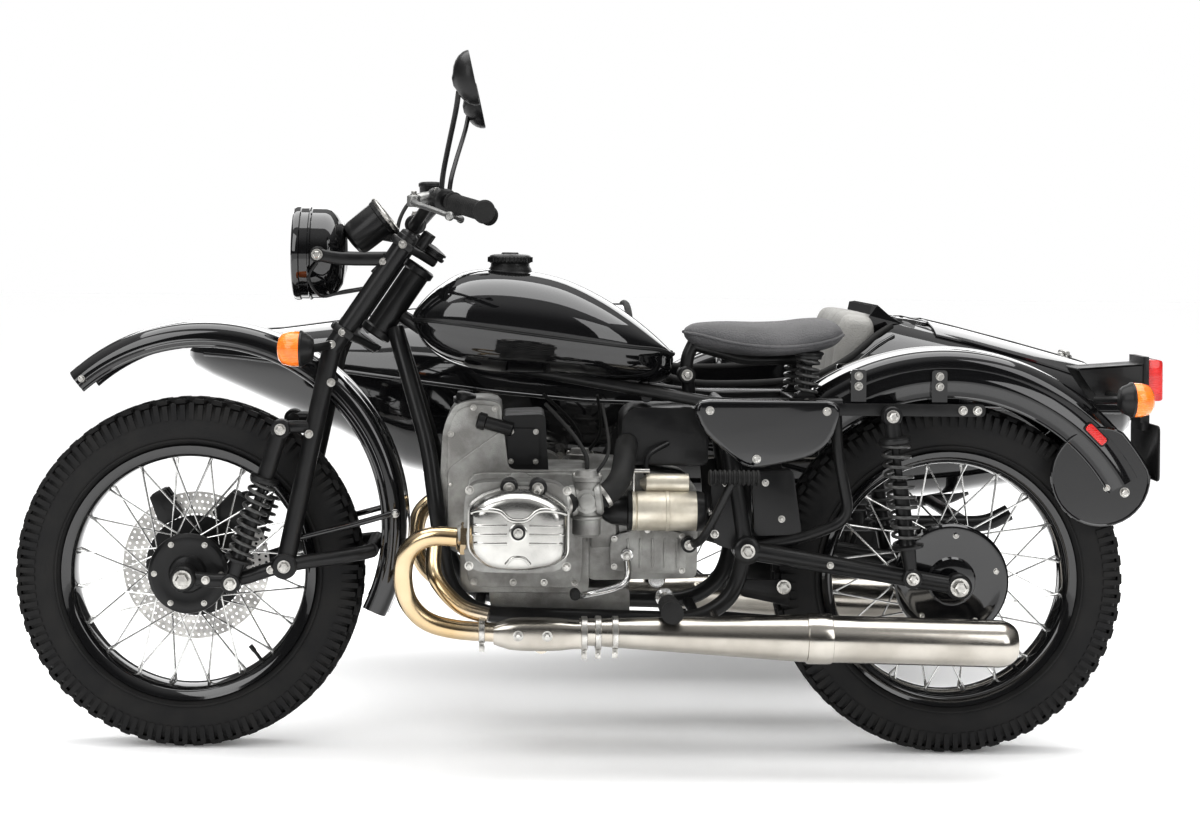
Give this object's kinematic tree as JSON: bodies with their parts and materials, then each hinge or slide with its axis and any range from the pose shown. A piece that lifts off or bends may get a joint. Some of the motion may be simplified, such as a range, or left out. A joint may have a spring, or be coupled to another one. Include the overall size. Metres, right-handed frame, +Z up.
{
  "type": "sidecar motorcycle",
  "caption": "Black retro motorcycle with flat opposed-twin engine and leading-link fork, joined on its right to a torpedo-shaped one-seat sidecar with a trunk.",
  "frame": {"origin": "on the floor, at the centre of the whole vehicle seen from above", "axes": "+X forward, +Y to the rider's left, +Z up"},
  "size_m": [2.37, 1.687, 1.3485],
  "materials": {
    "black_paint": "deep gloss black paint",
    "satin_black": "satin black powder coat",
    "cast_alloy": "sand-cast, slightly dull",
    "polished_alloy": "polished",
    "steel": "polished stainless steel",
    "hot_steel": "straw-tinted by heat",
    "tyre": "block tread rubber",
    "rubber": "matt",
    "saddle_rubber": "grained, satin",
    "seat_cloth": "coarse woven vinyl",
    "amber_lens": "moulded lens",
    "red_lens": "moulded lens"
  },
  "bodies": {
    "motorcycle": {"frame": "satin_black", "engine_crankcase": "cast_alloy", "cylinders": "cast_alloy", "rocker_covers": "polished_alloy", "gearbox": "cast_alloy", "starter_motor": "steel", "intake": "rubber", "exhaust_headers": "hot_steel", "mufflers": "steel", "fuel_tank": "black_paint", "rider_saddle": "saddle_rubber", "saddle_mount": "satin_black", "side_covers": "black_paint", "rear_swingarm": "satin_black", "rear_shocks": "satin_black", "final_drive": "satin_black", "rear_fender": "black_paint", "rear_lamps": "red_lens", "plate_holder": "satin_black", "foot_controls": "rubber", "sidecar_chassis": "satin_black", "sidecar_body": "black_paint", "sidecar_seat_cushion": "seat_cloth", "sidecar_seat_back": "seat_cloth", "sidecar_suspension": "satin_black", "sidecar_fender": "black_paint", "sidecar_lamps": "amber_lens"},
    "steering": {"fork": "satin_black", "leading_link": "satin_black", "front_shocks": "satin_black", "front_fender": "black_paint", "headlight": "satin_black", "handlebar": "satin_black", "hand_controls": "rubber", "mirrors": "satin_black", "speedometer": "satin_black", "front_turn_signal": "amber_lens", "brake_hose": "rubber"},
    "trunk_lid": {"sidecar_trunk_lid": "black_paint"},
    "front_wheel": {"front_wheel": "satin_black", "front_tyre": "tyre"},
    "rear_wheel": {"rear_wheel": "satin_black", "rear_tyre": "tyre"},
    "sidecar_wheel": {"sidecar_wheel": "satin_black", "sidecar_tyre": "tyre"}
  },
  "joints": [
    {"name": "steering", "type": "hinge", "parent": "motorcycle", "child": "steering", "pos_m": [0.3835, 0.383, 0.961], "axis": [-0.5577, 0, 0.83], "range_deg": [-35, 35]},
    {"name": "front_wheel_spin", "type": "hinge", "parent": "steering", "child": "front_wheel", "pos_m": [0.8405, 0.383, 0.345], "axis": [0, 1, 0], "continuous": true},
    {"name": "rear_wheel_spin", "type": "hinge", "parent": "motorcycle", "child": "rear_wheel", "pos_m": [-0.6595, 0.383, 0.345], "axis": [0, 1, 0], "continuous": true},
    {"name": "sidecar_wheel_spin", "type": "hinge", "parent": "motorcycle", "child": "sidecar_wheel", "pos_m": [-0.4135, -0.757, 0.345], "axis": [0, 1, 0], "continuous": true},
    {"name": "trunk_lid_hinge", "type": "hinge", "parent": "motorcycle", "child": "trunk_lid", "pos_m": [-0.7405, -0.317, 0.836], "axis": [0, 1, 0], "range_deg": [0, 80]}
  ]
}
